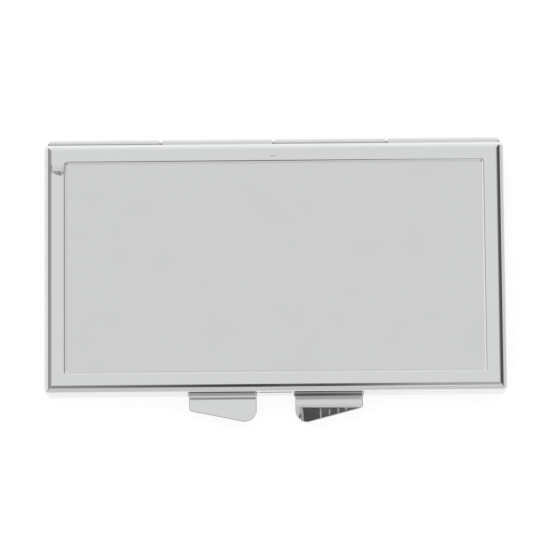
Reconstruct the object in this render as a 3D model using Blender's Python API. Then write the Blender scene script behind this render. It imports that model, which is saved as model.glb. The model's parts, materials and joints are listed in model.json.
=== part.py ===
"""Business card case in chromed sheet steel: a base tray and a hinged lid, opened by two thumb tabs.

World axes: +X along the hinge, +Y from the tabs to the hinge, +Z up. The origin is the underside's middle.
Every size is in millimetres; MM turns it into metres where a point becomes a vertex.
"""

import math

import bmesh
import bpy

MM = 0.001

# Driving sizes of the closed case, for cards of 88.9 x 50.8 mm.
CASE_X = 101.0
CASE_Y = 55.3
CASE_Z = 8.0
SHEET = 0.5
PART_Z = 5.3
PART_GAP = 0.1
CORNER_R = 1.0
HALF_X = CASE_X / 2
HALF_Y = CASE_Y / 2

# Lid: its edge is a wide roll, a bevel and a tight roll, and is wider at the short ends.
# It frames a sunk panel whose wall is a small roll and a slope.
LID_ROLL_R = 1.5
LID_BEVEL = 0.4
LID_TURN_R = 0.55
LID_EDGE_X = 1.9
SINK_X = 4.25
SINK_Y = 3.85
SINK_ROLL = 0.4
SINK_SLOPE = 45.0
SINK_DEPTH = 0.9
SINK_CORNER_R = 0.8
LID_RIM_Z = PART_Z + PART_GAP / 2

# Base: a tray whose rim steps in, so that it stands inside the lid's skirt.
BASE_ROLL = 1.0
SHOULDER_Z = PART_Z - PART_GAP / 2
RIM_INSET = 0.6
RIM_TOP_Z = 6.6
RIM_BACK_Y = HALF_Y - 3.0

# Hinge: knuckles rolled from the back walls, in four equal lengths, round a wire pin.
PIN_R = 0.45
BORE_R = 0.52
KNUCKLE_R = 0.95
HINGE_Y = HALF_Y - SHEET + KNUCKLE_R
HINGE_Z = PART_Z
KNUCKLE_END = 49.7
KNUCKLE_EDGES = (-KNUCKLE_END, -KNUCKLE_END / 2, 0.0, KNUCKLE_END / 2, KNUCKLE_END)
KNUCKLE_GAP = 0.3
KNUCKLE_CLEAR = 0.15
BASE_KNUCKLES = (0, 2)
LID_KNUCKLES = (1, 3)

# Thumb tabs: two stamped plates, mirror images in plan, welded inside the front walls.
TAB_T = 0.5
TAB_NEAR = 4.2
TAB_FAR = 19.0
TAB_REACH_FAR = 3.9
TAB_REACH = 6.65
TAB_TIP_SHARP = 0.45
TAB_TIP_R = 2.6
TAB_FAR_R = 0.8
TAB_SLOT_CLEAR = 0.3
TAB_FLANGE_Y = -HALF_Y + 0.825
LID_TAB_Z = LID_RIM_Z + TAB_T / 2
BASE_TAB_Z = SHOULDER_Z - TAB_T / 2
TAB_STEP = 0.15
TAB_BEND = 3.4
TAB_BEND_ANGLE = 12.0

# Inside: catch spring, card lifter with its clamp bar and rivets, and card retainers.
FLOOR_Z = SHEET
WALL_FACE_Y = -HALF_Y + SHEET
CATCH_T = 0.25
CATCH_X = (-15.0, -8.0)
LEAF_T = 0.3
LEAF_HALF_X = 11.0
LEAF_ROOT_HALF_X = 13.5
CLAMP_T = 0.45
CLAMP_HALF_X = 15.0
RIVET_X = 10.0
RIVET_Y = HALF_Y - 2.6
RIVET_R = 0.85
RIVET_HOLE_R = 0.95
RIVET_HEAD_R = 1.5
RETAINER_T = 0.4
RETAINER_WEB_X = 45.1
RETAINER_LIP_X = 42.5
RETAINER_LIP_Z = 5.2
RETAINER_HALF_Y = 17.0

# Lid insert: a thin plate bonded in the sunk panel, with its edge bevelled to the panel's sloping wall.
INSERT_T = 0.4
INSERT_GAP = 0.15
INSERT_BOND = 0.05

CORNER_STEPS = 5
ROLL_STEPS = 5
ROUND_STEPS = 24
SMOOTH_ANGLE = math.radians(30)


def clear_scene():
    for thing in list(bpy.data.objects):
        bpy.data.objects.remove(thing, do_unlink=True)


def make_material(name, colour, roughness, metallic=1.0):
    material = bpy.data.materials.new(name)
    material.use_nodes = True
    shader = material.node_tree.nodes["Principled BSDF"]
    shader.inputs["Base Color"].default_value = (*colour, 1.0)
    shader.inputs["Roughness"].default_value = roughness
    shader.inputs["Metallic"].default_value = metallic
    return material


def object_from(name, bm, material=None):
    """Turns a bmesh into a linked object, smooth on its round faces and sharp on its edges."""
    mesh = bpy.data.meshes.new(name)
    bm.to_mesh(mesh)
    bm.free()
    mesh.shade_smooth()
    mesh.set_sharp_from_angle(angle=SMOOTH_ANGLE)
    made = bpy.data.objects.new(name, mesh)
    bpy.context.scene.collection.objects.link(made)
    if material:
        mesh.materials.append(material)
    return made


def as_tool(thing):
    """Marks an object that only cuts or joins another one."""
    thing.hide_render = True
    thing.display_type = "WIRE"
    return thing


def combine(target, operation, tools):
    for tool in tools:
        modifier = target.modifiers.new(f"{operation.lower()}_{tool.name}", "BOOLEAN")
        modifier.operation = operation
        modifier.object = tool
        modifier.solver = "EXACT"


def loft(bm, rings):
    """Joins closed rings of equal length into one closed body, capped at both ends."""
    loops = [[bm.verts.new((x * MM, y * MM, z * MM)) for x, y, z in ring] for ring in rings]
    count = len(loops[0])
    for low, high in zip(loops, loops[1:]):
        for i in range(count):
            j = (i + 1) % count
            bm.faces.new((low[i], low[j], high[j], high[i]))
    bm.faces.new(reversed(loops[0]))
    bm.faces.new(loops[-1])


def rounded_ring(inset_x, inset_y, radius_x, radius_y, z):
    """A rounded rectangle in from the case's outline, counter-clockwise seen from above."""
    ring = []
    for corner, (sx, sy) in enumerate(((1, 1), (-1, 1), (-1, -1), (1, -1))):
        for step in range(CORNER_STEPS + 1):
            angle = math.pi / 2 * (corner + step / CORNER_STEPS)
            x = sx * (HALF_X - inset_x - radius_x) + radius_x * math.cos(angle)
            y = sy * (HALF_Y - inset_y - radius_y) + radius_y * math.sin(angle)
            ring.append((x, y, z))
    return ring


def outline_ring(inset_x, inset_y, z):
    """The case's outline, moved in, with its corners tightening to match."""
    least = 0.2
    radius_x = max(CORNER_R - inset_x, least)
    radius_y = max(CORNER_R - inset_y, least)
    return rounded_ring(inset_x, inset_y, radius_x, radius_y, z)


def sink_ring(inward, z):
    """A ring round the lid's sunk panel, moved in from where its border ends."""
    radius = max(SINK_CORNER_R - inward, 0.4)
    return rounded_ring(SINK_X + inward, SINK_Y + inward, radius, radius, z)


def box(name, low, high):
    bm = bmesh.new()
    corners = [(low[0], low[1]), (high[0], low[1]), (high[0], high[1]), (low[0], high[1])]
    loft(bm, [[(x, y, z) for x, y in corners] for z in (low[2], high[2])])
    return as_tool(object_from(name, bm))


def circle(radius, steps=ROUND_STEPS):
    turns = [2 * math.pi * step / steps for step in range(steps)]
    return [(radius * math.cos(turn), radius * math.sin(turn)) for turn in turns]


def rod(name, radius, low, high, y, z, material=None, chamfer=0.0):
    """A round bar along X."""
    stations = [(low, radius), (high, radius)]
    if chamfer:
        stations = [
            (low, radius - chamfer),
            (low + chamfer, radius),
            (high - chamfer, radius),
            (high, radius - chamfer),
        ]
    bm = bmesh.new()
    loft(bm, [[(x, y + a, z + b) for a, b in circle(r)] for x, r in stations])
    return object_from(name, bm, material)


def turned(name, profile, x, y, material=None):
    """A round body about a vertical axis, from (radius, height) pairs listed upwards."""
    bm = bmesh.new()
    loft(bm, [[(x + a, y + b, z) for a, b in circle(radius)] for radius, z in profile])
    return object_from(name, bm, material)


def prism(name, outline, low_z, high_z):
    """A plan outline, counter-clockwise, raised from one height to another."""
    bm = bmesh.new()
    loft(bm, [[(x, y, z) for x, y in outline] for z in (low_z, high_z)])
    return as_tool(object_from(name, bm))


def bend(points, radius, steps=4):
    """A path with each inner corner replaced by an arc."""
    path = [points[0]]
    for before, here, after in zip(points, points[1:], points[2:]):
        to_before = math.atan2(before[1] - here[1], before[0] - here[0])
        to_after = math.atan2(after[1] - here[1], after[0] - here[0])
        opening = (to_after - to_before + math.pi) % (2 * math.pi) - math.pi
        half = opening / 2
        back = radius / abs(math.tan(half))
        middle = to_before + half
        reach = radius / abs(math.sin(half))
        centre = (here[0] + reach * math.cos(middle), here[1] + reach * math.sin(middle))
        start = (here[0] + back * math.cos(to_before), here[1] + back * math.sin(to_before))
        first = math.atan2(start[1] - centre[1], start[0] - centre[0])
        sweep = -math.copysign(math.pi - abs(opening), opening)
        for step in range(steps + 1):
            angle = first + sweep * step / steps
            path.append((centre[0] + radius * math.cos(angle), centre[1] + radius * math.sin(angle)))
    path.append(points[-1])
    return path


def sides_of(path, thickness):
    """The two faces of a sheet that follows a path: its left side, then its right side backwards."""
    left, right = [], []
    for i, (a, z) in enumerate(path):
        before = path[max(i - 1, 0)]
        after = path[min(i + 1, len(path) - 1)]
        entering = math.atan2(z - before[1], a - before[0]) if i else None
        leaving = math.atan2(after[1] - z, after[0] - a) if i < len(path) - 1 else entering
        entering = leaving if entering is None else entering
        turn = (leaving - entering + math.pi) % (2 * math.pi) - math.pi
        normal = entering + turn / 2 + math.pi / 2
        reach = thickness / 2 / math.cos(turn / 2)
        left.append((a + reach * math.cos(normal), z + reach * math.sin(normal)))
        right.append((a - reach * math.cos(normal), z - reach * math.sin(normal)))
    return left + right[::-1]


def strip_along_x(name, path, thickness, low, high, material):
    """A bent sheet strip whose (y, z) path runs straight along X."""
    section = sides_of(path, thickness)
    bm = bmesh.new()
    loft(bm, [[(x, y, z) for y, z in section] for x in (low, high)])
    bmesh.ops.recalc_face_normals(bm, faces=bm.faces)
    return object_from(name, bm, material)


def strip_along_y(name, path, thickness, low, high, material):
    """A bent sheet strip whose (x, z) path runs straight along Y."""
    section = sides_of(path, thickness)
    bm = bmesh.new()
    loft(bm, [[(x, y, z) for x, z in section] for y in (low, high)])
    bmesh.ops.recalc_face_normals(bm, faces=bm.faces)
    return object_from(name, bm, material)


def roll(steps=ROLL_STEPS, last=math.pi / 2):
    """Angles from level to upright, or to another slope."""
    return [last * step / steps for step in range(steps + 1)]


def knuckle_span(index):
    """The X range of one knuckle's place in the hinge."""
    return KNUCKLE_EDGES[index], KNUCKLE_EDGES[index + 1]


def knuckle_barrels(prefix, indexes):
    barrels = []
    for index in indexes:
        low, high = knuckle_span(index)
        barrel = rod(f"{prefix}_{index}", KNUCKLE_R, low + KNUCKLE_GAP, high - KNUCKLE_GAP, HINGE_Y, HINGE_Z)
        barrels.append(as_tool(barrel))
    return barrels


def knuckle_notches(prefix, indexes, low_z, high_z):
    """Cuts in one back wall that leave room for the other half's knuckles."""
    inner_y = HALF_Y - SHEET - 0.2
    outer_y = HALF_Y + 1.0
    notches = []
    for index in indexes:
        low, high = knuckle_span(index)
        notches.append(box(f"{prefix}_{index}", (low, inner_y, low_z), (high, outer_y, high_z)))
    return notches


def hinge_bore(name):
    return as_tool(rod(name, BORE_R, -HALF_X - 5, HALF_X + 5, HINGE_Y, HINGE_Z))


def rivet_holes(prefix, low_z, high_z):
    profile = [(RIVET_HOLE_R, low_z), (RIVET_HOLE_R, high_z)]
    return [as_tool(turned(f"{prefix}_{side}", profile, side * RIVET_X, RIVET_Y)) for side in (-1, 1)]


def tab_slot(name, side, low_z, high_z):
    """The cut in a front wall that a tab passes through, on the side of -X or +X."""
    ends = sorted((side * (TAB_NEAR - TAB_SLOT_CLEAR), side * (TAB_FAR + TAB_SLOT_CLEAR)))
    return box(name, (ends[0], -HALF_Y - 1.0, low_z), (ends[1], -HALF_Y + 1.6, high_z))


def lid_edge():
    """How far out and down each point of the lid's edge is, from flat top to skirt, and its slope."""
    turn = math.radians(45)
    edge = [(LID_ROLL_R * math.sin(a), LID_ROLL_R * (1 - math.cos(a)), a) for a in roll(ROLL_STEPS, turn)]
    out = edge[-1][0] + LID_BEVEL - LID_TURN_R * math.sin(turn)
    down = edge[-1][1] + LID_BEVEL + LID_TURN_R * math.cos(turn)
    for part in roll(ROLL_STEPS, turn):
        slope = turn + part
        edge.append((out + LID_TURN_R * math.sin(slope), down - LID_TURN_R * math.cos(slope), slope))
    return edge


def base_shell(material):
    rings = []
    for a in roll():
        inset = BASE_ROLL * (1 - math.sin(a))
        rings.append(outline_ring(inset, inset, BASE_ROLL * (1 - math.cos(a))))
    inner = RIM_INSET + SHEET
    rings += [
        outline_ring(0, 0, SHOULDER_Z),
        outline_ring(RIM_INSET, RIM_INSET, SHOULDER_Z),
        outline_ring(RIM_INSET, RIM_INSET, RIM_TOP_Z),
        outline_ring(inner, inner, RIM_TOP_Z),
        outline_ring(inner, inner, SHOULDER_Z - SHEET),
        outline_ring(SHEET, SHEET, SHOULDER_Z - SHEET),
    ]
    inside = BASE_ROLL - SHEET
    for a in reversed(roll(3)):
        inset = SHEET + inside * (1 - math.sin(a))
        rings.append(outline_ring(inset, inset, SHEET + inside * (1 - math.cos(a))))
    bm = bmesh.new()
    loft(bm, rings)
    shell = object_from("base_shell", bm, material)
    above = CASE_Z + 2
    rim_cut_z = SHOULDER_Z - PART_GAP
    ledge_cut_z = SHOULDER_Z - SHEET - PART_GAP
    ledge_x = HALF_X - SHEET - 0.05
    ledge_y = HALF_Y - SHEET - 0.05
    cuts = [
        box("cut_back_rim", (-HALF_X - 1, RIM_BACK_Y, rim_cut_z), (HALF_X + 1, HALF_Y + 1, above)),
        box("cut_back_ledge", (-ledge_x, RIM_BACK_Y + 0.1, ledge_cut_z), (ledge_x, ledge_y, above + 1)),
        tab_slot("cut_rim_for_lid_tab", -1, rim_cut_z, above),
        tab_slot("cut_wall_for_base_tab", 1, SHOULDER_Z - TAB_T - PART_GAP, above),
    ]
    cuts += knuckle_notches("cut_base_notch", LID_KNUCKLES, HINGE_Z - KNUCKLE_R - KNUCKLE_CLEAR, above)
    combine(shell, "DIFFERENCE", cuts)
    combine(shell, "UNION", knuckle_barrels("join_base_knuckle", BASE_KNUCKLES))
    combine(shell, "DIFFERENCE", [hinge_bore("cut_base_bore"), *rivet_holes("cut_base_rivet", -1, 2)])
    return shell


def sink_wall(drop):
    """How far in the sunk panel's wall is at a depth below the lid's top."""
    slope = math.radians(SINK_SLOPE)
    rolled = SINK_ROLL * (1 - math.cos(slope))
    return SINK_ROLL * math.sin(slope) + (drop - rolled) / math.tan(slope)


def lid_shell(material):
    """Rings from the ceiling inside, down the skirt, up outside and down into the sunk panel."""
    edge = lid_edge()
    wide = edge[-1][0]
    stretch = LID_EDGE_X / wide
    foot = sink_wall(SINK_DEPTH)
    under = SHEET * math.tan(math.radians(SINK_SLOPE) / 2)
    rings = [
        sink_ring(foot - under, CASE_Z - SINK_DEPTH - SHEET),
        sink_ring(-under, CASE_Z - SHEET),
    ]
    for out, down, slope in edge:
        inward, tuck = wide - out, SHEET * math.sin(slope)
        z = CASE_Z - down - SHEET * math.cos(slope)
        rings.append(outline_ring(inward * stretch + tuck, inward + tuck, z))
    rings += [outline_ring(SHEET, SHEET, LID_RIM_Z), outline_ring(0, 0, LID_RIM_Z)]
    for out, down, _ in reversed(edge):
        rings.append(outline_ring((wide - out) * stretch, wide - out, CASE_Z - down))
    for a in roll(3, math.radians(SINK_SLOPE)):
        rings.append(sink_ring(SINK_ROLL * math.sin(a), CASE_Z - SINK_ROLL * (1 - math.cos(a))))
    rings.append(sink_ring(foot, CASE_Z - SINK_DEPTH))
    bm = bmesh.new()
    loft(bm, rings)
    shell = object_from("lid_shell", bm, material)
    cuts = [tab_slot("cut_skirt_for_lid_tab", -1, PART_Z - 1, LID_RIM_Z + TAB_T + PART_GAP)]
    notch_top = HINGE_Z + KNUCKLE_R + KNUCKLE_CLEAR
    cuts += knuckle_notches("cut_lid_notch", BASE_KNUCKLES, PART_Z - 2, notch_top)
    combine(shell, "DIFFERENCE", cuts)
    combine(shell, "UNION", knuckle_barrels("join_lid_knuckle", LID_KNUCKLES))
    combine(shell, "DIFFERENCE", [hinge_bore("cut_lid_bore")])
    return shell


def tab_outline(side):
    """A tab from above: a deep round corner near the case's middle, a slanted front, a small corner."""
    inside_y = -HALF_Y + 2
    near_corner = (TAB_NEAR, -HALF_Y - TAB_REACH - TAB_TIP_SHARP)
    far_corner = (TAB_FAR, -HALF_Y - TAB_REACH_FAR)
    root = (TAB_FAR, inside_y)
    outline = bend([(TAB_NEAR, inside_y), near_corner, far_corner], TAB_TIP_R, 6)[:-1]
    outline += bend([near_corner, far_corner, root], TAB_FAR_R)[1:]
    return [(side * x, y) for x, y in (outline if side > 0 else outline[::-1])]


def thumb_tab(name, side, path, material):
    low, high = sorted((side * (TAB_NEAR - 1), side * (TAB_FAR + 1)))
    tab = strip_along_x(name, path, TAB_T, low, high, material)
    combine(tab, "INTERSECT", [prism(f"outline_{name}", tab_outline(side), -1, CASE_Z + 1)])
    return tab


def out_from_wall(points):
    """Turns (distance out from the front wall, height) pairs into a (y, z) path."""
    return [(-HALF_Y - out, z) for out, z in points]


def lid_thumb_tab(material):
    """Flange up inside the skirt, out through its slot, then a blade stepped down a little at its root."""
    blade_z = LID_TAB_Z - TAB_STEP
    path = [(TAB_FLANGE_Y, 6.7), (TAB_FLANGE_Y, LID_TAB_Z)]
    path += out_from_wall([(0.5, LID_TAB_Z), (2.0, blade_z), (10.0, blade_z)])
    tab = thumb_tab("lid_thumb_tab", -1, bend(path, 0.3), material)
    bead_y = TAB_FLANGE_Y + TAB_T / 2
    bead = box("join_catch_bead", (-14.5, bead_y - 0.2, 5.95), (-8.5, bead_y + 0.095, 6.35))
    combine(tab, "UNION", [bead])
    return tab


def base_thumb_tab(material):
    """Flange down inside the wall, out through its slot, then a stepped blade whose outer half bends down."""
    blade_z = BASE_TAB_Z - TAB_STEP
    beyond_z = blade_z - (10.0 - TAB_BEND) * math.tan(math.radians(TAB_BEND_ANGLE))
    path = [(TAB_FLANGE_Y, 2.2), (TAB_FLANGE_Y, BASE_TAB_Z)]
    path += out_from_wall([(0.5, BASE_TAB_Z), (2.0, blade_z), (TAB_BEND, blade_z), (10.0, beyond_z)])
    return thumb_tab("base_thumb_tab", 1, bend(path, 0.3), material)


def hinge_pin(material):
    end = KNUCKLE_END + 0.1
    return rod("hinge_pin", PIN_R, -end, end, HINGE_Y, HINGE_Z, material, 0.12)


def lid_insert_plate(material):
    low_z = CASE_Z - SINK_DEPTH + INSERT_BOND
    bm = bmesh.new()
    loft(bm, [sink_ring(sink_wall(CASE_Z - z) + INSERT_GAP, z) for z in (low_z, low_z + INSERT_T)])
    return object_from("lid_insert_plate", bm, material)


def catch_spring(material):
    """An upright leaf, welded at its foot to the front wall. Its bulge snaps over the lid tab's bead."""
    shape = [(0.3, 0.9), (0.3, 3.0), (0.88, 4.4), (0.88, 6.35), (0.855, 6.75), (1.05, 7.2)]
    path = bend([(WALL_FACE_Y + inward, z) for inward, z in shape], 0.12, 2)
    return strip_along_x("catch_spring", path, CATCH_T, *CATCH_X, material)


def lifter_leaf(material):
    """A leaf spring that rises from under the clamp bar towards the front, and pushes the cards up."""
    path = [(RIVET_Y - 3.2, 0.78), (RIVET_Y - 6.1, 0.78), (2.0, 2.5), (-9.0, 3.05), (-12.5, 2.6)]
    path = bend(path, 4.0, 4)
    leaf = strip_along_x("lifter_leaf", path, LEAF_T, -CLAMP_HALF_X, CLAMP_HALF_X, material)
    tip_y, root_y, shoulder_y = -12.0, RIVET_Y - 1.4, RIVET_Y - 7.9
    outline = bend([
        (0.0, tip_y), (LEAF_HALF_X, tip_y), (LEAF_HALF_X, shoulder_y),
        (LEAF_ROOT_HALF_X, shoulder_y + 2), (LEAF_ROOT_HALF_X, root_y),
        (-LEAF_ROOT_HALF_X, root_y), (-LEAF_ROOT_HALF_X, shoulder_y + 2),
        (-LEAF_HALF_X, shoulder_y), (-LEAF_HALF_X, tip_y), (0.0, tip_y),
    ], 1.0, 3)[:-1]
    combine(leaf, "INTERSECT", [prism("outline_lifter_leaf", outline, 0.1, CASE_Z)])
    return leaf


def lifter_clamp_bar(material):
    """A joggled bar: its foot is riveted to the floor and its front edge covers the leaf's root."""
    foot_z = FLOOR_Z + 0.05 + CLAMP_T / 2
    shape = [(1.5, 0.0), (-1.9, 0.0), (-2.6, 0.52), (-5.2, 0.52)]
    path = bend([(RIVET_Y + along, foot_z + up) for along, up in shape], 0.2)
    bar = strip_along_x("lifter_clamp_bar", path, CLAMP_T, -CLAMP_HALF_X, CLAMP_HALF_X, material)
    combine(bar, "DIFFERENCE", rivet_holes("cut_clamp_rivet", 0, 3))
    return bar


def clamp_rivet(name, side, material):
    under_head = FLOOR_Z + 0.05 + CLAMP_T + 0.05
    profile = [
        (RIVET_R, 0.05),
        (RIVET_R, under_head),
        (RIVET_HEAD_R, under_head),
        (RIVET_HEAD_R, under_head + 0.25),
        (RIVET_HEAD_R * 0.75, under_head + 0.5),
        (RIVET_HEAD_R * 0.35, under_head + 0.6),
    ]
    return turned(name, profile, side * RIVET_X, RIVET_Y, material)


def card_retainer(name, side, material):
    """A bent angle at a short end: foot on the floor, web that stops the cards, lip over them."""
    foot_z = FLOOR_Z + 0.05 + RETAINER_T / 2
    path = bend([
        (side * 49.1, foot_z),
        (side * RETAINER_WEB_X, foot_z),
        (side * RETAINER_WEB_X, RETAINER_LIP_Z),
        (side * RETAINER_LIP_X, RETAINER_LIP_Z),
    ], 0.45)
    return strip_along_y(name, path, RETAINER_T, -RETAINER_HALF_Y, RETAINER_HALF_Y, material)


def main():
    clear_scene()
    chrome = make_material("chromed_steel", (0.80, 0.81, 0.81), 0.08)
    plate = make_material("polished_aluminium", (0.79, 0.80, 0.80), 0.12)
    spring = make_material("spring_steel", (0.62, 0.62, 0.61), 0.25)
    zinc = make_material("plated_rivet_steel", (0.70, 0.70, 0.69), 0.2)
    base_shell(chrome)
    lid_shell(chrome)
    hinge_pin(spring)
    lid_insert_plate(plate)
    lid_thumb_tab(chrome)
    base_thumb_tab(chrome)
    catch_spring(spring)
    lifter_leaf(spring)
    lifter_clamp_bar(chrome)
    clamp_rivet("clamp_rivet_left", -1, zinc)
    clamp_rivet("clamp_rivet_right", 1, zinc)
    card_retainer("card_retainer_left", -1, chrome)
    card_retainer("card_retainer_right", 1, chrome)


main()
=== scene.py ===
import json
import math

import bmesh
import bpy
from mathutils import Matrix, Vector


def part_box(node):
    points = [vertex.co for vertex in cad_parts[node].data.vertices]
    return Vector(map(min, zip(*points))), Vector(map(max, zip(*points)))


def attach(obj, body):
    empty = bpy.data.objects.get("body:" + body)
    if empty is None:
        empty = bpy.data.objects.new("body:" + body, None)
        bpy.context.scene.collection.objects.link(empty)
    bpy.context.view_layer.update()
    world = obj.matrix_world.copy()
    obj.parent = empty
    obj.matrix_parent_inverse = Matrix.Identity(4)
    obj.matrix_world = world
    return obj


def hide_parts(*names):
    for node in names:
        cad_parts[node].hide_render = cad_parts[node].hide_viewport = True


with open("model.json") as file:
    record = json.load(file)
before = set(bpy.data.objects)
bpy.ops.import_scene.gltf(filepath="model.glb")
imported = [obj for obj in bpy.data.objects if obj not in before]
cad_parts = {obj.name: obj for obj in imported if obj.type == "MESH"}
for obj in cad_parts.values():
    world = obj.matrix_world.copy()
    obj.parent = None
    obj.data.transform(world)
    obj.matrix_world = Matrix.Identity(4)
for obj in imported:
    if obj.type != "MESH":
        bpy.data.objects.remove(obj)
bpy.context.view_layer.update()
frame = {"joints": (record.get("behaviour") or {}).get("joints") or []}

# Shapes are worked out in millimetres, and MM turns them into the frame's metres.
MM = 0.001


def box_mm(node):
    """The low and the high corner of a CAD node."""
    low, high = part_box(node)
    return low / MM, high / MM


def joint_place(name):
    joint = next(j for j in frame["joints"] if j["name"] == name)
    return Vector(joint["pos_m"]) / MM


# Places that come from the frame.
_, LID_HIGH = box_mm("lid_shell")
BASE_LOW, BASE_HIGH = box_mm("base_shell")
HALF_X = LID_HIGH.x
HALF_Y = -BASE_LOW.y
TOP_Z = LID_HIGH.z
_, HINGE_Y, HINGE_Z = joint_place("lid_hinge")
PIN_LOW, PIN_HIGH = box_mm("hinge_pin")
RIVET_Y = sum(corner.y for corner in box_mm("clamp_rivet_left")) / 2

# Sheet and edge sizes of the design. The lid's rim and the base's shoulder meet at the hinge's height.
SHEET = 0.5
CORNER_R = 1.0
LEAST_R = 0.2
PART_GAP = 0.1
LID_RIM_Z = HINGE_Z + PART_GAP / 2
SHOULDER_Z = HINGE_Z - PART_GAP / 2
BASE_ROLL = 1.0
RIM_INSET = 0.6
RIM_TOP_Z = BASE_HIGH.z
RIM_BACK_Y = HALF_Y - 3.0
EDGE_R = 0.1

# How far cutters reach in front of and behind the case.
FRONT_OUT_Y = -HALF_Y - 1
BACK_OUT_Y = HALF_Y + 1

# The lid's edge: a wide roll, a bevel and a tight roll.
LID_ROLL_R = 1.5
LID_BEVEL = 0.4
LID_TURN_R = 0.55
LID_EDGE_X = 1.9

# The sunk panel in the lid, with a roll and a slope round it, and the gap round its plate.
SINK_X, SINK_Y = 4.25, 3.85
SINK_ROLL = 0.4
SINK_SLOPE = math.radians(45)
SINK_DEPTH = 0.9
SINK_FOOT = 0.6
SINK_CORNER_R = 0.8
SINK_LEAST_R = 0.4
INSERT_GAP = 0.01

# Knuckles: sheet rolled round the pin, in four equal lengths. The walls are cut away behind them.
KNUCKLE_SHEET = 0.43
KNUCKLE_MID_R = 0.735
KNUCKLE_END = PIN_HIGH.x - 0.1
KNUCKLE_GAP = 0.3
BASE_KNUCKLES = (0, 2)
LID_KNUCKLES = (1, 3)
BASE_WALL_CUT_Z = 4.25
LID_WALL_CUT_Z = HINGE_Z + 1.1
WALL_CUT_Y = HALF_Y - SHEET - 0.2

# Thumb tabs, and the slots and the notch in the walls at them.
TAB_T = 0.5
TAB_TIP_R = 2.6
TAB_FAR_R = 0.8
TAB_EDGE_R = 0.2
LID_TAB_SLOPE = 2.5
BASE_TAB_SLOPE = 3.1
TAB_FLANGE_Y = -HALF_Y + 0.825
TAB_SLOT_CLEAR = 0.3
TAB_SLOT_Y = -HALF_Y + 1.6
NOTCH_X = (-3.6, 3.5)
NOTCH_Z = LID_RIM_Z + 1.0
# How far from the wall a tab's steps and its flared root end.
TAB_STEPPED = 2.6
ROOT_END = 1.1
ROOT_FADE = 0.5
# The base tab is pressed down from here outwards, but for a level strip at its near side.
TAB_BEND = 3.4
TAB_BEND_ANGLE = math.radians(12)
LEVEL_SIDE = 0.75
LEVEL_FADE = 0.8

# Rows and columns of a tab's grid, steps of a corner and of a roll.
STEPPED_ROWS = 90
BLADE_ROWS = 40
TAB_COLUMNS = 80
CORNER_STEPS = 12
ROLL_STEPS = 12
SMOOTH_ANGLE = math.radians(35)

CHROME = (0.80, 0.81, 0.81)
WORN_METAL = (0.86, 0.85, 0.82, 1.0)


# ---------------------------------------------------------------- meshes


def finished(name, bm, material, bevel=0.0):
    """Turns a bmesh into a linked object with clean shading on its flats, rolls and edges."""
    bmesh.ops.recalc_face_normals(bm, faces=bm.faces)
    mesh = bpy.data.meshes.new(name)
    bm.to_mesh(mesh)
    bm.free()
    made = bpy.data.objects.new(name, mesh)
    bpy.context.scene.collection.objects.link(made)
    if material:
        mesh.materials.append(material)
        smooth(made, bevel)
    return made


def smooth(made, bevel=0.0):
    """Shades a mesh smooth, and either rounds its sharp edges or keeps them sharp."""
    mesh = made.data
    mesh.shade_smooth()
    if bevel:
        rounding = made.modifiers.new("edge_rounding", "BEVEL")
        rounding.width = bevel * MM
        rounding.segments = 3
        rounding.limit_method = "ANGLE"
        rounding.angle_limit = SMOOTH_ANGLE
        rounding.use_clamp_overlap = True
    else:
        mesh.set_sharp_from_angle(angle=SMOOTH_ANGLE)
    weighted = made.modifiers.new("flat_normals", "WEIGHTED_NORMAL")
    weighted.keep_sharp = True
    weighted.weight = 80


def apply_modifiers(made):
    """Replaces an object's mesh with what its modifiers make of it."""
    graph = bpy.context.evaluated_depsgraph_get()
    mesh = bpy.data.meshes.new_from_object(made.evaluated_get(graph))
    made.modifiers.clear()
    made.data = mesh


def cut(target, shapes, operation="DIFFERENCE"):
    """Cuts closed shapes out of a mesh, or keeps what is inside one, and removes the shapes."""
    for shape in shapes:
        modifier = target.modifiers.new("cut", "BOOLEAN")
        modifier.operation = operation
        modifier.solver = "EXACT"
        modifier.object = shape
    bpy.context.view_layer.update()
    apply_modifiers(target)
    for shape in shapes:
        bpy.data.objects.remove(shape)


def solid(name, rings, material=None, bevel=0.0):
    """A closed mesh out of rings of points, each joined to the next."""
    bm = bmesh.new()
    loops = [[bm.verts.new(Vector(point) * MM) for point in ring] for ring in rings]
    count = len(loops[0])
    for low, high in zip(loops, loops[1:]):
        for i in range(count):
            j = (i + 1) % count
            bm.faces.new((low[i], low[j], high[j], high[i]))
    bm.faces.new(reversed(loops[0]))
    bm.faces.new(loops[-1])
    return finished(name, bm, material, bevel)


def cutter(outline, low_z, high_z):
    return solid("cutter", [[(x, y, z) for x, y in outline] for z in (low_z, high_z)])


def block(low, high):
    corners = [(low[0], low[1]), (high[0], low[1]), (high[0], high[1]), (low[0], high[1])]
    return cutter(corners, low[2], high[2])


def arc_angles(first, last, steps):
    return [first + (last - first) * step / steps for step in range(steps + 1)]


def quarter(steps=ROLL_STEPS):
    return arc_angles(0.0, math.pi / 2, steps)


def arc(centre, radius, angles):
    """Points at these angles round a centre."""
    return [(centre[0] + radius * math.cos(a), centre[1] + radius * math.sin(a)) for a in angles]


def circle(centre, radius, steps=40):
    return arc(centre, radius, arc_angles(0.0, 2 * math.pi, steps)[:-1])


def rounded_ring(inset_x, inset_y, radius_x, radius_y, z):
    """A rounded rectangle in from the case's outline."""
    ring = []
    for corner, (sx, sy) in enumerate(((1, 1), (-1, 1), (-1, -1), (1, -1))):
        for angle in arc_angles(math.pi / 2 * corner, math.pi / 2 * (corner + 1), CORNER_STEPS):
            x = sx * (HALF_X - inset_x - radius_x) + radius_x * math.cos(angle)
            y = sy * (HALF_Y - inset_y - radius_y) + radius_y * math.sin(angle)
            ring.append((x, y, z))
    return ring


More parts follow.
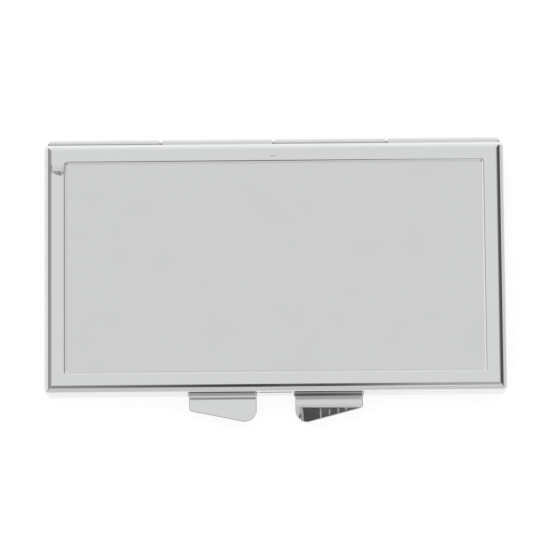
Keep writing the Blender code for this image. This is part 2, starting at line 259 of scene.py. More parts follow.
def outline_ring(inset_x, inset_y, z):
    radius_x = max(CORNER_R - inset_x, LEAST_R)
    radius_y = max(CORNER_R - inset_y, LEAST_R)
    return rounded_ring(inset_x, inset_y, radius_x, radius_y, z)


def sink_ring(inward, z):
    """A ring of the sunk panel's wall."""
    radius = max(SINK_CORNER_R - inward, SINK_LEAST_R)
    return rounded_ring(SINK_X + inward, SINK_Y + inward, radius, radius, z)


def bend(points, radius, steps=8):
    """A path with each inner corner replaced by an arc."""
    path = [points[0]]
    for before, here, after in zip(points, points[1:], points[2:]):
        to_before = math.atan2(before[1] - here[1], before[0] - here[0])
        to_after = math.atan2(after[1] - here[1], after[0] - here[0])
        opening = (to_after - to_before + math.pi) % (2 * math.pi) - math.pi
        half = opening / 2
        back = radius / abs(math.tan(half))
        reach = radius / abs(math.sin(half))
        centre_x = here[0] + reach * math.cos(to_before + half)
        centre_y = here[1] + reach * math.sin(to_before + half)
        start_x = here[0] + back * math.cos(to_before)
        start_y = here[1] + back * math.sin(to_before)
        first = math.atan2(start_y - centre_y, start_x - centre_x)
        sweep = -math.copysign(math.pi - abs(opening), opening)
        path += arc((centre_x, centre_y), radius, arc_angles(first, first + sweep, steps))
    path.append(points[-1])
    return path


def path_normals(path):
    """The direction to the left of a path at each of its points."""
    normals = []
    for i, point in enumerate(path):
        before = path[max(i - 1, 0)]
        after = path[min(i + 1, len(path) - 1)]
        into = Vector((point[0] - before[0], point[1] - before[1]))
        out = Vector((after[0] - point[0], after[1] - point[1]))
        along = (into.normalized() + out.normalized()).normalized()
        normals.append(Vector((-along.y, along.x)))
    return normals


def sheet_section(path, thickness):
    """The closed outline of a sheet that follows a path, with one thickness or one for each point."""
    widths = thickness if isinstance(thickness, list) else [thickness] * len(path)
    left, right = [], []
    for (a, b), normal, width in zip(path, path_normals(path), widths):
        left.append((a + normal.x * width / 2, b + normal.y * width / 2))
        right.append((a - normal.x * width / 2, b - normal.y * width / 2))
    return left + right[::-1]


def strip(name, path, thickness, low, high, material, along="X", bevel=0.05):
    """A bent sheet strip that runs straight along one axis."""
    section = sheet_section(path, thickness)
    if along == "X":
        rings = [[(x, a, b) for a, b in section] for x in (low, high)]
    else:
        rings = [[(a, y, b) for a, b in section] for y in (low, high)]
    return solid(name, rings, material, bevel)


# ---------------------------------------------------------------- materials


class Nodes:
    """Builds a node tree with short calls."""

    def __init__(self, tree):
        self.tree = tree

    def feed(self, node, inputs):
        """Links a node's inputs to sockets, and sets those that are constant."""
        for key, value in inputs.items():
            if isinstance(value, bpy.types.NodeSocket):
                self.tree.links.new(value, node.inputs[key])
            else:
                node.inputs[key].default_value = value
        return node

    def add(self, kind, inputs=None, **settings):
        node = self.tree.nodes.new(kind)
        for key, value in settings.items():
            setattr(node, key, value)
        return self.feed(node, inputs or {})

    def math(self, operation, a, b):
        return self.add("ShaderNodeMath", {0: a, 1: b}, operation=operation).outputs[0]

    def plus(self, a, b):
        return self.math("ADD", a, b)

    def times(self, a, b):
        return self.math("MULTIPLY", a, b)

    def vector(self, operation, *values):
        node = self.add("ShaderNodeVectorMath", dict(enumerate(values)), operation=operation)
        return node.outputs["Value" if operation == "LENGTH" else "Vector"]

    def noise(self, vector, scale, detail=4.0, roughness=0.5):
        inputs = {"Vector": vector, "Scale": scale, "Detail": detail, "Roughness": roughness}
        return self.add("ShaderNodeTexNoise", inputs).outputs["Fac"]

    def steps(self, value, low, high):
        """0 at low and 1 at high, with a smooth start and end."""
        inputs = {"Value": value, "From Min": low, "From Max": high}
        node = self.add("ShaderNodeMapRange", inputs, interpolation_type="SMOOTHSTEP")
        return node.outputs["Result"]

    def stretched(self, vector, scale, angle=0.0):
        inputs = {"Vector": vector, "Scale": scale, "Rotation": (0.0, 0.0, angle)}
        return self.add("ShaderNodeMapping", inputs).outputs["Vector"]

    def mix_colour(self, factor, a, b):
        """Between two colours. A number stands for a grey."""
        a, b = (grey(value) if isinstance(value, float) else value for value in (a, b))
        return self.add("ShaderNodeMix", {0: factor, 6: a, 7: b}, data_type="RGBA").outputs[2]

    def bump(self, height, distance, strength, below=None):
        """A bump on top of another one. distance is in metres."""
        inputs = {"Height": height, "Distance": distance, "Strength": strength}
        if below:
            inputs["Normal"] = below
        return self.add("ShaderNodeBump", inputs).outputs["Normal"]


def grey(level):
    return (level, level, level, 1.0)


def scratches(nodes, place, angle, density):
    """Fine straight marks in one direction: noise drawn out along a line, cut to its peaks."""
    drawn_out = nodes.stretched(place, (60.0, 9000.0, 900.0), angle)
    line = nodes.noise(drawn_out, 1.0, 2.0)
    patch = nodes.noise(place, 260.0, 2.0)
    peaks = nodes.steps(line, 0.74 - density, 0.80 - density)
    return nodes.times(peaks, nodes.steps(patch, 0.45, 0.62))


def spot(nodes, place, centre, size):
    """1 inside an oval about a point of the object, fading to 0 at its edge. Sizes are in millimetres."""
    offset = nodes.vector("SUBTRACT", place, Vector(centre) * MM)
    scaled = nodes.vector("MULTIPLY", offset, [1 / (s * MM) for s in size])
    return nodes.steps(nodes.vector("LENGTH", scaled), 1.0, 0.2)


def principled(name):
    """A new material, its shader and its node builder."""
    material = bpy.data.materials.new(name)
    material.use_nodes = True
    tree = material.node_tree
    return material, tree.nodes["Principled BSDF"], Nodes(tree)


def metal(name, colour, roughness, grain=None, marks=(), scuffs=(), edge_wear=0.5):
    """Bare or plated metal: soft waviness of the sheet, handling marks, smudges and worn edges.

    grain is the stretch of the noise that makes brushed lines. Each mark is a small dent: its centre,
    size and depth. Each scuff is a dull streak: its centre and size.
    """
    material, shader, nodes = principled(name)
    place = nodes.add("ShaderNodeTexCoord").outputs["Object"]

    smudge = nodes.steps(nodes.noise(place, 110.0, 5.0, 0.6), 0.48, 0.72)
    fine = nodes.noise(place, 1400.0, 3.0)
    rising, falling = scratches(nodes, place, 0.35, 0.0), scratches(nodes, place, -0.9, 0.02)
    marked = nodes.math("MAXIMUM", rising, falling)
    wear = nodes.steps(nodes.add("ShaderNodeNewGeometry").outputs["Pointiness"], 0.53, 0.60)

    tone = nodes.mix_colour(smudge, (*colour, 1.0), (*[c * 0.99 for c in colour], 1.0))
    tone = nodes.mix_colour(nodes.times(wear, edge_wear), tone, WORN_METAL)
    rough = nodes.plus(roughness, nodes.times(smudge, 0.03))
    rough = nodes.plus(rough, nodes.times(fine, 0.02))
    rough = nodes.plus(rough, nodes.times(marked, 0.10))

    height = nodes.math("SUBTRACT", nodes.times(fine, 0.15), marked)
    if grain:
        lines = nodes.noise(nodes.stretched(place, grain), 1.0, 3.0)
        height = nodes.plus(height, nodes.times(lines, 1.5))
        rough = nodes.plus(rough, nodes.times(lines, 0.10))
    normal = nodes.bump(nodes.noise(place, 45.0, 2.0), 0.000015, 0.5)
    normal = nodes.bump(height, 0.0000012, 0.5, normal)
    for centre, size, depth in marks:
        mask = spot(nodes, place, centre, size)
        crumple = nodes.times(mask, nodes.noise(place, 900.0, 2.0))
        normal = nodes.bump(crumple, depth * MM, 1.0, normal)
        rough = nodes.plus(rough, nodes.times(mask, 0.08))
    for centre, size in scuffs:
        rough = nodes.plus(rough, nodes.times(spot(nodes, place, centre, size), 0.5))
    nodes.feed(shader, {"Metallic": 1.0, "Base Color": tone, "Roughness": rough, "Normal": normal})
    return material


# ---------------------------------------------------------------- the two shells


def lid_edge():
    """How far out and down each point of the lid's edge is, from flat top to skirt, and its slope."""
    turn = math.radians(45)
    edge = []
    for a in arc_angles(0.0, turn, ROLL_STEPS):
        edge.append((LID_ROLL_R * math.sin(a), LID_ROLL_R * (1 - math.cos(a)), a))
    out = edge[-1][0] + LID_BEVEL - LID_TURN_R * math.sin(turn)
    down = edge[-1][1] + LID_BEVEL + LID_TURN_R * math.cos(turn)
    for a in arc_angles(turn, 2 * turn, ROLL_STEPS):
        edge.append((out + LID_TURN_R * math.sin(a), down - LID_TURN_R * math.cos(a), a))
    return edge


def sink_wall(drop):
    """How far in the sunk panel's wall is at a depth below the lid's top."""
    rolled = SINK_ROLL * (1 - math.cos(SINK_SLOPE))
    return SINK_ROLL * math.sin(SINK_SLOPE) + (drop - rolled) / math.tan(SINK_SLOPE)


def rim_inset(middle, side, angle):
    """How far in a rounded sheet edge is, on one side of the sheet's middle."""
    return middle + side * (SHEET / 2 - EDGE_R) + EDGE_R * math.cos(angle)


def lid_rings():
    """From the ceiling inside, down the skirt, up outside and down into the sunk panel."""
    edge = lid_edge()
    wide = edge[-1][0]
    stretch = LID_EDGE_X / wide
    foot = sink_wall(SINK_DEPTH)
    under = SHEET * math.tan(SINK_SLOPE / 2)
    rings = [sink_ring(foot - under, TOP_Z - SINK_DEPTH - SHEET), sink_ring(-under, TOP_Z - SHEET)]
    for out, down, slope in edge:
        inward, tuck = wide - out, SHEET * math.sin(slope)
        z = TOP_Z - down - SHEET * math.cos(slope)
        rings.append(outline_ring(inward * stretch + tuck, inward + tuck, z))
    for a in arc_angles(0.0, math.pi, 6):
        inset = rim_inset(SHEET / 2, 1 if a < math.pi / 2 else -1, a)
        rings.append(outline_ring(inset, inset, LID_RIM_Z + EDGE_R * (1 - math.sin(a))))
    for out, down, _ in reversed(edge):
        rings.append(outline_ring((wide - out) * stretch, wide - out, TOP_Z - down))
    for a in arc_angles(0.0, SINK_SLOPE, ROLL_STEPS):
        rings.append(sink_ring(SINK_ROLL * math.sin(a), TOP_Z - SINK_ROLL * (1 - math.cos(a))))
    for drop in (SINK_FOOT, SINK_DEPTH):
        rings.append(sink_ring(sink_wall(drop), TOP_Z - drop))
    return rings


def base_rings():
    """From the underside, up outside, over the shoulder to the rim, and down inside to the floor."""
    rings = []
    for a in quarter():
        inset = BASE_ROLL * (1 - math.sin(a))
        rings.append(outline_ring(inset, inset, BASE_ROLL * (1 - math.cos(a))))
    for a in quarter(4):
        inset = EDGE_R * (1 - math.cos(a))
        rings.append(outline_ring(inset, inset, SHOULDER_Z - EDGE_R * (1 - math.sin(a))))
    inner = RIM_INSET + SHEET
    rings.append(outline_ring(RIM_INSET, RIM_INSET, SHOULDER_Z))
    for a in arc_angles(math.pi, 0.0, 6):
        inset = rim_inset((RIM_INSET + inner) / 2, -1 if a > math.pi / 2 else 1, a)
        rings.append(outline_ring(inset, inset, RIM_TOP_Z - EDGE_R * (1 - math.sin(a))))
    rings.append(outline_ring(inner, inner, SHOULDER_Z - SHEET))
    rings.append(outline_ring(SHEET, SHEET, SHOULDER_Z - SHEET))
    inside = BASE_ROLL - SHEET
    for a in reversed(quarter(6)):
        inset = SHEET + inside * (1 - math.sin(a))
        rings.append(outline_ring(inset, inset, SHEET + inside * (1 - math.cos(a))))
    return rings


def make_lid_cover(material):
    """The lid's shell, with a slot over its tab and a shallow notch between the tabs."""
    cover = solid("lid_cover", lid_rings(), material)
    below = HINGE_Z - 1
    slot_low, slot_high = tab_slot_x("lid_thumb_tab")
    notch_low, notch_high = NOTCH_X
    cut(cover, [
        block((-KNUCKLE_END, WALL_CUT_Y, HINGE_Z - 2), (KNUCKLE_END, BACK_OUT_Y, LID_WALL_CUT_Z)),
        block((slot_low, FRONT_OUT_Y, below), (slot_high, TAB_SLOT_Y, LID_RIM_Z + TAB_T + PART_GAP)),
        block((notch_low, FRONT_OUT_Y, below), (notch_high, -HALF_Y + SHEET + 0.04, NOTCH_Z)),
    ])
    smooth(cover)
    return cover


def make_base_tray(material):
    """The tray's shell: no rim along the hinge, two tab slots, and holes for the rivets."""
    tray = solid("base_tray", base_rings(), material)
    above = TOP_Z + 2
    side_x, side_y = HALF_X - SHEET - 0.05, HALF_Y - SHEET - 0.05
    lid_slot = tab_slot_x("lid_thumb_tab")
    base_slot = tab_slot_x("base_thumb_tab")
    rim_z = SHOULDER_Z - PART_GAP
    cut(tray, [
        block((-HALF_X - 1, RIM_BACK_Y, rim_z), (HALF_X + 1, BACK_OUT_Y, above)),
        block((-side_x, RIM_BACK_Y + 0.1, rim_z - SHEET), (side_x, side_y, above + 1)),
        block((lid_slot[0], FRONT_OUT_Y, rim_z), (lid_slot[1], TAB_SLOT_Y, above)),
        block((base_slot[0], FRONT_OUT_Y, rim_z - TAB_T), (base_slot[1], TAB_SLOT_Y, above)),
        block((-KNUCKLE_END, WALL_CUT_Y, BASE_WALL_CUT_Z), (KNUCKLE_END, BACK_OUT_Y, above)),
        rivet_hole("clamp_rivet_left"),
        rivet_hole("clamp_rivet_right"),
    ])
    smooth(tray)
    return tray


def rivet_hole(node):
    """A round cutter through the floor, on a rivet's axis."""
    low, high = box_mm(node)
    return cutter(circle((low + high) / 2, 0.95, 48), -1, 2)


def tab_slot_x(node):
    low, high = box_mm(node)
    return low.x - TAB_SLOT_CLEAR, high.x + TAB_SLOT_CLEAR


# ---------------------------------------------------------------- hinge


def knuckle_span(index):
    length = KNUCKLE_END / 2
    low = -KNUCKLE_END + index * length
    return low + KNUCKLE_GAP, low + length - KNUCKLE_GAP


def rolled(first, last):
    """The middle of the sheet where it is rolled round the pin."""
    angles = arc_angles(math.radians(first), math.radians(last), 44)
    return arc((HINGE_Y, HINGE_Z), KNUCKLE_MID_R, angles)


def make_knuckle(name, index, stem, roll, material):
    """A stem out of the shell's wall, as thick as the wall, that thins to the roll round the pin."""
    path = stem + roll
    thickness = [SHEET - 0.02] + [KNUCKLE_SHEET] * (len(path) - 1)
    return strip(name, path, thickness, *knuckle_span(index), material, bevel=0.06)


def make_knuckles(material):
    wall_y = HALF_Y - SHEET / 2
    made = []
    for index in BASE_KNUCKLES:
        stem = [(wall_y, BASE_WALL_CUT_Z - 0.05), (HINGE_Y - KNUCKLE_MID_R, BASE_WALL_CUT_Z + 0.4)]
        knuckle = make_knuckle(f"base_knuckle_{index + 1}", index, stem, rolled(180, -108), material)
        made.append((knuckle, "base", "base_shell"))
    turn_r = 0.36
    turn_centre = (wall_y + turn_r, HINGE_Z + KNUCKLE_MID_R + turn_r)
    for index in LID_KNUCKLES:
        stem = [(wall_y, LID_WALL_CUT_Z + 0.1)]
        stem += arc(turn_centre, turn_r, arc_angles(math.pi, 1.5 * math.pi, 12))
        knuckle = make_knuckle(f"lid_knuckle_{index + 1}", index, stem, rolled(90, -198), material)
        made.append((knuckle, "lid", "lid_shell"))
    return made


def make_pin(material):
    """Drawn wire with its ends rounded over."""
    radius = (PIN_HIGH.z - PIN_LOW.z) / 2
    dome = 0.18
    stations = []
    for a in reversed(quarter(6)):
        stations.append((PIN_LOW.x + dome * (1 - math.sin(a)), radius - dome + dome * math.cos(a)))
    stations += [(-x, r) for x, r in reversed(stations)]
    rings = [[(x, y, z) for y, z in circle((HINGE_Y, HINGE_Z), r)] for x, r in stations]
    return solid("pin_wire", rings, material)


# ---------------------------------------------------------------- thumb tabs


def tab_edge(width, reach, shorter):
    """A function from the distance from a tab's near side to its reach there.

    Its front edge is a big round corner, a slope and a small corner.
    """
    slope = shorter / (width - TAB_TIP_R)
    lean = math.atan(slope)
    top = reach - TAB_TIP_R + slope * TAB_TIP_R + TAB_TIP_R / math.cos(lean)
    tip = (TAB_TIP_R, reach - TAB_TIP_R)
    far_x = width - TAB_FAR_R
    far = (far_x, top - slope * far_x - TAB_FAR_R / math.cos(lean))

    def edge(u):
        if u < tip[0] + TAB_TIP_R * math.sin(lean):
            return tip[1] + math.sqrt(max(TAB_TIP_R**2 - (u - tip[0]) ** 2, 0.0))
        if u > far[0] + TAB_FAR_R * math.sin(lean):
            return far[1] + math.sqrt(max(TAB_FAR_R**2 - (u - far[0]) ** 2, 0.0))
        return top - slope * u

    return edge


def walk(path):
    """A function from a distance along a path to the point there and the direction to its left."""
    normals = path_normals(path)
    lengths = [0.0]
    for before, here in zip(path, path[1:]):
        lengths.append(lengths[-1] + math.dist(before, here))

    def at(distance):
        distance = min(max(distance, 0.0), lengths[-1])
        i = max(k for k in range(len(path) - 1) if lengths[k] <= distance or k == 0)
        share = (distance - lengths[i]) / (lengths[i + 1] - lengths[i])
        point = Vector(path[i]).lerp(Vector(path[i + 1]), share)
        return point, normals[i].lerp(normals[i + 1], share).normalized()

    return at, lengths


def distance_to_wall(path, lengths):
    """How far along a tab's path the outer face of the front wall is."""
    for i in range(len(path) - 1):
        if path[i + 1][0] < -HALF_Y <= path[i][0]:
            share = (path[i][0] + HALF_Y) / (path[i][0] - path[i + 1][0])
            return lengths[i] + share * (lengths[i + 1] - lengths[i])
    raise ValueError("the path never leaves the case")


def edge_thickness(distance):
    """What is left of a tab's thickness this near to its rounded edge."""
    if distance >= TAB_EDGE_R:
        return TAB_T
    inward = TAB_EDGE_R - distance
    return TAB_T - 2 * (TAB_EDGE_R - math.sqrt(max(TAB_EDGE_R**2 - inward**2, 0.0)))


def spread(length, edge, middle):
    """Distances from 0 to length, close together near both ends."""
    near = [edge * (1 - math.cos(a)) for a in quarter(6)]
    inner = [edge + (length - 2 * edge) * step / middle for step in range(1, middle)]
    return near + inner + [length - n for n in reversed(near)]


def skin(bm, grid):
    """Closes a grid of vertices, each a pair of one above and one below, into one surface."""
    rows = len(grid[0])
    for left, right in zip(grid, grid[1:]):
        for i in range(rows - 1):
            for face in (0, 1):
                quad = [left[i][face], left[i + 1][face], right[i + 1][face], right[i][face]]
                bm.faces.new(quad if face else quad[::-1])
        for i in (0, rows - 1):
            bm.faces.new((left[i][0], left[i][1], right[i][1], right[i][0]))
    for column in (grid[0], grid[-1]):
        for i in range(rows - 1):
            bm.faces.new((column[i][0], column[i][1], column[i + 1][1], column[i + 1][0]))


def make_tab(name, node, side, path, shorter, material, flare, pressed=None):
    """A stamped tab: a path out of the case, cut off along its slanted front edge, with rounded edges.

    It is shorter by that much at its far side. flare is how much wider its root is on its near
    and far sides. pressed gives how far down each point is pressed.
    """
    low, high = box_mm(node)
    near, width = min(abs(low.x), abs(high.x)), high.x - low.x
    edge = tab_edge(width, -low.y - HALF_Y, shorter)
    at, lengths = walk(path)
    root = distance_to_wall(path, lengths)
    stepped = root + TAB_STEPPED
    stepped_rows = [stepped * step / STEPPED_ROWS for step in range(STEPPED_ROWS + 1)]
    shares = [1 - (1 - step / BLADE_ROWS) ** 1.6 for step in range(1, BLADE_ROWS + 1)]
    bm = bmesh.new()

    def pair(u, s, out):
        """The vertices above and below a point across and along the tab."""
        point, normal = at(s)
        across = u / width
        flared = flare[1] * across - flare[0] * (1 - across)
        x = side * (near + u + flared * ease((ROOT_END - (s - root)) / ROOT_FADE))
        half = edge_thickness(min(u, width - u, (out - s) * 0.97, s)) / 2
        down = pressed(u, s - root) if pressed else 0.0
        places = (point + normal * sign * half for sign in (1, -1))
        return [bm.verts.new(Vector((x, place.x, place.y - down)) * MM) for place in places]

    grid = []
    for u in spread(width, TAB_EDGE_R, TAB_COLUMNS):
        out = root + edge(u)
        rows = stepped_rows + [stepped + (out - stepped) * share for share in shares]
        grid.append([pair(u, s, out) for s in rows])
    skin(bm, grid)
    bmesh.ops.remove_doubles(bm, verts=bm.verts, dist=1e-7)
    return finished(name, bm, material)


def ease(share):
    """0 to 1 with a smooth start and end."""
    share = min(max(share, 0.0), 1.0)
    return share * share * (3 - 2 * share)


def tab_path(top_z, steps):
    """A path from the flange's end to beyond the tab's tip.

    top_z is the flange's end and the blade's level. Steps are (distance from the wall, drop) pairs.
    """
    flange_z, level = top_z
    points = [(TAB_FLANGE_Y, flange_z), (TAB_FLANGE_Y, level)]
    return bend(points + [(-HALF_Y - out, level - drop) for out, drop in steps], 0.2)


def slopes(*parts):
    """Steps for tab_path out of (distance from the wall, slope in degrees up to there) pairs."""
    out, drop = 0.0, 0.0
    steps = [(out, drop)]
    for far, slope in parts:
        drop += (far - out) * math.tan(math.radians(slope))
        out = far
        steps.append((out, drop))
    return steps


def make_lid_tab(material):
    """A slope that eases off to a narrow ridge, a crease, then a level blade."""
    steps = slopes(
        (0.3, 4.9), (0.6, 4.8), (0.75, 4.2), (0.95, 2.0), (1.02, 3.9), (1.48, 5.0), (1.6, 3.5),
        (10.0, 0.0),
    )
    path = tab_path((6.7, LID_RIM_Z + TAB_T / 2), steps)
    return make_tab("lid_tab", "lid_thumb_tab", -1, path, LID_TAB_SLOPE, material, flare=(0.05, 0.20))


def base_tab_pressed(u, out):
    """How far down the base tab is pressed at a distance from its near side and from the wall."""
    beyond = max(out - TAB_BEND, 0.0)
    return beyond * math.tan(TAB_BEND_ANGLE) * ease((u - LEVEL_SIDE) / LEVEL_FADE)


def make_base_tab(material):
    """A steeper step than the lid tab's, a blade that turns down, and a pressed-down outer part."""
    steps = slopes(
        (0.2, 4.9), (0.35, 7.5), (0.62, 9.0), (0.8, 6.0), (1.5, 4.6), (1.7, 3.4), (2.6, 2.6), (3.05, 3.2),
        (10.0, 3.6),
    )
    path = tab_path((2.2, SHOULDER_Z - TAB_T / 2), steps)
    return make_tab(
        "base_tab", "base_thumb_tab", 1, path, BASE_TAB_SLOPE, material,
        flare=(0.35, 0.20), pressed=base_tab_pressed,
    )


# ---------------------------------------------------------------- inside and trim


def make_insert(material):
    """The plate in the sunk panel. Its edge follows the sloping wall, and is rounded over at the top."""
    low, high = box_mm("lid_insert_plate")
    tip = sink_wall(TOP_Z - high.z) + INSERT_GAP
    round_in, round_down = 0.02, 0.01
    rings = [sink_ring(sink_wall(TOP_Z - low.z) + INSERT_GAP, low.z)]
    for step in range(7):
        share = step / 6
        inward = tip + (1 - share)**2 * round_down + share**2 * round_in
        rings.append(sink_ring(inward, high.z - (1 - share)**2 * round_down))
    return solid("insert_plate", rings, material)


def make_catch(material):
    """An upright leaf on the front wall, with a bulge near its top."""
    low, high = box_mm("catch_spring")
    sheet = 0.25
    shape = [(0.3, low.z + 0.01), (0.3, 3.0), (0.88, 4.4), (0.88, 6.35), (0.855, 6.75), (1.05, 7.2)]
    path = bend([(SHEET - HALF_Y + inward, z) for inward, z in shape], 0.12, 4)
    return strip("catch_leaf", path, sheet, low.x, high.x, material, bevel=0.04)


def lifter_blank():
    """A block with the leaf's outline, narrowed in front of its clamped root, with round corners."""
    wide, narrow, tip_y = 13.5, 11.0, -12.0
    root_y, shoulder_y = RIVET_Y - 1.4, RIVET_Y - 7.9
    outline = bend([
        (0.0, tip_y), (narrow, tip_y), (narrow, shoulder_y), (wide, shoulder_y + 2), (wide, root_y),
        (-wide, root_y), (-wide, shoulder_y + 2), (-narrow, shoulder_y), (-narrow, tip_y), (0.0, tip_y),
    ], 1.0, 8)[:-1]
    return cutter(outline, 0.1, TOP_Z)


def make_lifter(material):
    """The leaf spring: a bent strip that keeps only what is inside its blank."""
    root_z = 0.78
    path = [(RIVET_Y - 3.2, root_z), (RIVET_Y - 6.1, root_z), (2.0, 2.5), (-9.0, 3.05), (-12.5, 2.6)]
    leaf = strip("lifter_spring", bend(path, 4.0, 14), 0.3, -15.0, 15.0, None)
    cut(leaf, [lifter_blank()], "INTERSECT")
    leaf.data.materials.append(material)
    smooth(leaf, 0.04)
    return leaf


def make_clamp_bar(material):
    """A strip across the leaf's root, stepped up over it."""
    low, high = box_mm("lifter_clamp_bar")
    sheet = 0.45
    foot_z = low.z + sheet / 2
    shape = [(1.5, 0.0), (-1.9, 0.0), (-2.6, 0.52), (-5.2, 0.52)]
    path = bend([(RIVET_Y + along, foot_z + up) for along, up in shape], 0.2, 6)
    return strip("clamp_bar", path, sheet, low.x, high.x, material, bevel=0.06)


def make_rivet(name, node, material):
    """A shank in the floor with a domed head on the clamp bar."""
    low, high = box_mm(node)
    middle = (low + high) / 2
    head_r = (high.x - low.x) / 2
    head_z = 1.05
    rim_z = head_z + 0.05
    profile = [(0.75, low.z), (0.85, low.z + 0.1), (0.85, head_z), (head_r - 0.05, head_z)]
    for a in quarter(10)[:-1]:
        profile.append((head_r * math.cos(a), rim_z + (high.z - rim_z) * math.sin(a)))
    return solid(name, [[(x, y, z) for x, y in circle(middle, r)] for r, z in profile], material)


def make_retainer(name, node, side, material):
    """A bent strip at a short end: a foot on the floor, a web and a lip over the cards."""
    low, high = box_mm(node)
    sheet = 0.4
    outer, inner = (low.x, high.x) if side < 0 else (high.x, low.x)
    web_x = side * 45.1
    path = bend([
        (outer, low.z + sheet / 2),
        (web_x, low.z + sheet / 2),
        (web_x, high.z - sheet / 2),
        (inner, high.z - sheet / 2),
    ], 0.45)
    return strip(name, path, sheet, low.y, high.y, material, along="Y", bevel=0.06)


# ---------------------------------------------------------------- assembly


def chrome_metals():
    """Chrome as it is on most pieces, on the lid with its dent and rub, and on the scuffed base tab."""
    dent = ((-47.2, 22.2, TOP_Z), (2.3, 1.7, 2.0), 0.3)
    rub = ((-0.5, 25.0, TOP_Z), (2.6, 0.55, 1.0), 0.06)
    streaks = (
        ((9.75, -32.4, 4.5), (0.22, 1.9, 2.0)),
        ((11.7, -31.9, 4.5), (0.20, 0.9, 2.0)),
        ((13.6, -31.6, 4.5), (0.22, 0.9, 2.0)),
        ((15.3, -31.2, 4.5), (0.30, 0.5, 2.0)),
    )
    plain = metal("chrome_plate", CHROME, 0.05)
    scuffed = metal("chrome_plate_scuffed", CHROME, 0.05, scuffs=streaks)
    dented = metal("chrome_plate_lid", CHROME, 0.05, marks=(dent, rub))
    return plain, scuffed, dented


def build_object():
    """Makes every piece, and puts it on its body in place of its CAD node."""
    chrome, scuffed_chrome, lid_chrome = chrome_metals()
    plate_tone, plate_grain = (0.775, 0.79, 0.78), (40.0, 3000.0, 40.0)
    plate = metal("insert_aluminium", plate_tone, 0.10, grain=plate_grain, edge_wear=0.0)
    spring = metal("spring_steel", (0.62, 0.62, 0.61), 0.20, grain=(60.0, 2500.0, 2500.0))
    zinc = metal("rivet_zinc", (0.70, 0.70, 0.69), 0.18)

    pieces = [
        (make_lid_cover(lid_chrome), "lid", "lid_shell", "chromed_steel"),
        (make_base_tray(chrome), "base", "base_shell", "chromed_steel"),
        (make_pin(spring), "base", "hinge_pin", "spring_steel"),
        (make_lid_tab(chrome), "lid", "lid_thumb_tab", "chromed_steel"),
        (make_base_tab(scuffed_chrome), "base", "base_thumb_tab", "chromed_steel"),
        (make_insert(plate), "lid", "lid_insert_plate", "polished_aluminium"),
        (make_catch(spring), "base", "catch_spring", "spring_steel"),
        (make_lifter(spring), "lifter", "lifter_leaf", "spring_steel"),
        (make_clamp_bar(chrome), "base", "lifter_clamp_bar", "chromed_steel"),
    ]
    for end in ("left", "right"):
        node = f"clamp_rivet_{end}"
        pieces.append((make_rivet(f"rivet_{end}", node, zinc), "base", node, "plated_rivet_steel"))
    for end, side in (("left", -1), ("right", 1)):
        node = f"card_retainer_{end}"
        retainer = make_retainer(f"retainer_{end}", node, side, chrome)
        pieces.append((retainer, "base", node, "chromed_steel"))
    rolled_chrome = metal("chrome_plate_rolled", CHROME, 0.22)
    pieces += [(*knuckle, "chromed_steel") for knuckle in make_knuckles(rolled_chrome)]
    for piece, body, node, slot in pieces:
        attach(piece, body)
        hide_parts(node)


# ---------------------------------------------------------------- stage


def make_floor():
    """A wide pale floor just under the case, bright enough to come out nearly white."""
    material, shader, nodes = principled("pale_floor")
    nodes.feed(shader, {"Base Color": grey(0.35), "Roughness": 0.9})
    nodes.feed(shader, {"Emission Color": grey(1.0), "Emission Strength": 0.72})
    bm = bmesh.new()
    bmesh.ops.create_grid(bm, x_segments=1, y_segments=1, size=4.0)
    mesh = bpy.data.meshes.new("floor")
    bm.to_mesh(mesh)
    bm.free()
    mesh.materials.append(material)
    floor = bpy.data.objects.new("floor", mesh)
    bpy.context.scene.collection.objects.link(floor)
    floor.location.z = -0.00002


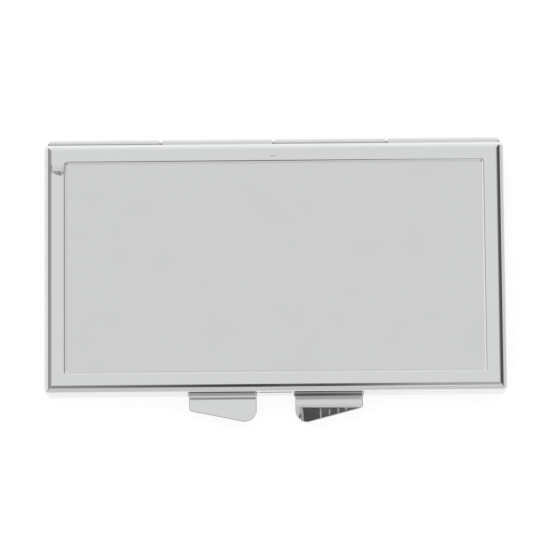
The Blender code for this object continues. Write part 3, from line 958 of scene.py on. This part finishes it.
def make_world():
    """A pale studio with light overhead, behind and along the horizon.

    It is darker high up at both sides. High up in front are the dark camera and its stand.
    """
    world = bpy.data.worlds.new("studio")
    world.use_nodes = True
    bpy.context.scene.world = world
    nodes = Nodes(world.node_tree)
    background = world.node_tree.nodes["Background"]
    direction = nodes.add("ShaderNodeTexCoord").outputs["Generated"]
    parts = nodes.add("ShaderNodeSeparateXYZ", {"Vector": direction}).outputs
    x, y, z = parts["X"], parts["Y"], parts["Z"]

    front_low = nodes.times(nodes.steps(z, 0.50, 0.56), nodes.steps(x, 0.008, 0.02))
    front_low = nodes.mix_colour(front_low, 0.68, 1.1)
    sides = nodes.mix_colour(nodes.steps(x, -0.3, 0.3), 0.93, 0.74)
    horizon = nodes.mix_colour(nodes.steps(y, 0.2, 0.8), sides, 0.93)
    horizon = nodes.mix_colour(nodes.steps(y, -0.2, -0.6), horizon, front_low)
    colour = nodes.mix_colour(nodes.steps(z, 0.5, 0.95), horizon, 0.81)
    above = nodes.steps(z, 0.30, 0.38)
    for far_x, level in ((-1, 0.34), (1, 0.09)):
        side = nodes.times(above, nodes.steps(x, far_x * 0.12, far_x * 0.60))
        colour = nodes.mix_colour(side, colour, level)
    front = nodes.mix_colour(nodes.steps(x, -0.010, 0.010), 0.04, 0.055)
    front = nodes.mix_colour(nodes.steps(x, -0.006, -0.050), front, 0.34)
    front = nodes.mix_colour(nodes.steps(x, 0.010, 0.036), front, 0.48)
    in_front = nodes.times(nodes.steps(y, 0.10, -0.08), nodes.steps(z, 0.60, 0.74))
    colour = nodes.mix_colour(in_front, colour, front)
    nodes.feed(background, {"Color": colour, "Strength": 1.0})


def make_lights():
    """One large soft lamp overhead, which lights the floor and is left out of reflections."""
    lamp = bpy.data.lights.new("overhead", "SUN")
    lamp.energy = 1.5
    lamp.angle = math.radians(150)
    lit = bpy.data.objects.new("overhead", lamp)
    lit.rotation_euler = (math.radians(8), math.radians(-6), 0.0)
    lit.visible_glossy = False
    bpy.context.scene.collection.objects.link(lit)


def make_camera():
    """A long lens almost straight above, tilted towards the thumb tabs."""
    tilt, roll = math.radians(11), math.radians(0.50)
    distance = 1.1
    target = Vector((0.00003, -0.0020, TOP_Z * MM))
    away = Vector((0.0, -math.sin(tilt), math.cos(tilt)))
    data = bpy.data.cameras.new("camera")
    data.sensor_width = 36.0
    data.lens = 329.0
    data.clip_start = 0.01
    data.clip_end = 20.0
    camera = bpy.data.objects.new("camera", data)
    camera.location = target + away * distance
    facing = (-away).to_track_quat("-Z", "Y").to_matrix().to_4x4()
    camera.rotation_euler = facing.to_euler()
    camera.rotation_euler.rotate_axis("Z", -roll)
    bpy.context.scene.collection.objects.link(camera)
    bpy.context.scene.camera = camera


make_camera()
build_object()
make_floor()
make_world()
make_lights()
bpy.context.scene.view_settings.view_transform = "Standard"
